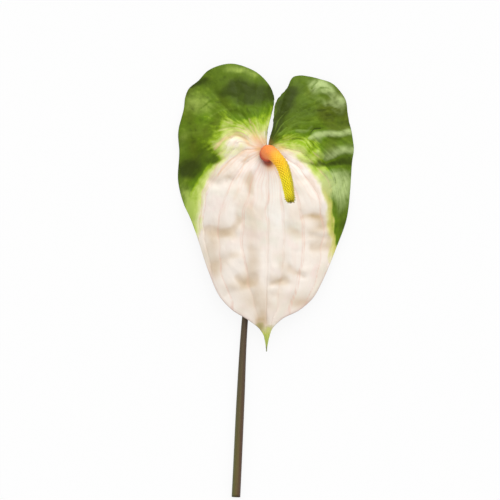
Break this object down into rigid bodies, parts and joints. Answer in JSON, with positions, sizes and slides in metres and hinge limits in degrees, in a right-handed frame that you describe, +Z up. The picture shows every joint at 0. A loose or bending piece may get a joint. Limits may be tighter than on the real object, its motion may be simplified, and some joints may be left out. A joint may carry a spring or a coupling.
{
  "type": "anthurium flower",
  "caption": "Cut anthurium flower lying on its back: heart-shaped cream and green spathe with a pointed tip, curved yellow spadix, slim brown stem.",
  "frame": {"origin": "on the surface the flower lies on, under the middle of its bounding box", "axes": "+Z up out of the open face of the flower, +Y towards the spathe's two lobes, -Y towards the stem's cut end, +X to the right as seen from above with the lobes at the top"},
  "size_m": [0.1101, 0.2722, 0.048],
  "materials": {
    "stem": "satin olive-brown stalk with fine lengthwise streaks, darker under the flower",
    "spathe": "leathery, satin to glossy: cream field with fine pink veins, mid-green lobes and margins, olive tip",
    "spadix": "satin: orange smooth base turning to yellow, with small close florets and a greener end"
  },
  "bodies": {
    "root": {"stem": "stem", "spathe": "spathe", "spadix": "spadix"}
  },
  "joints": []
}
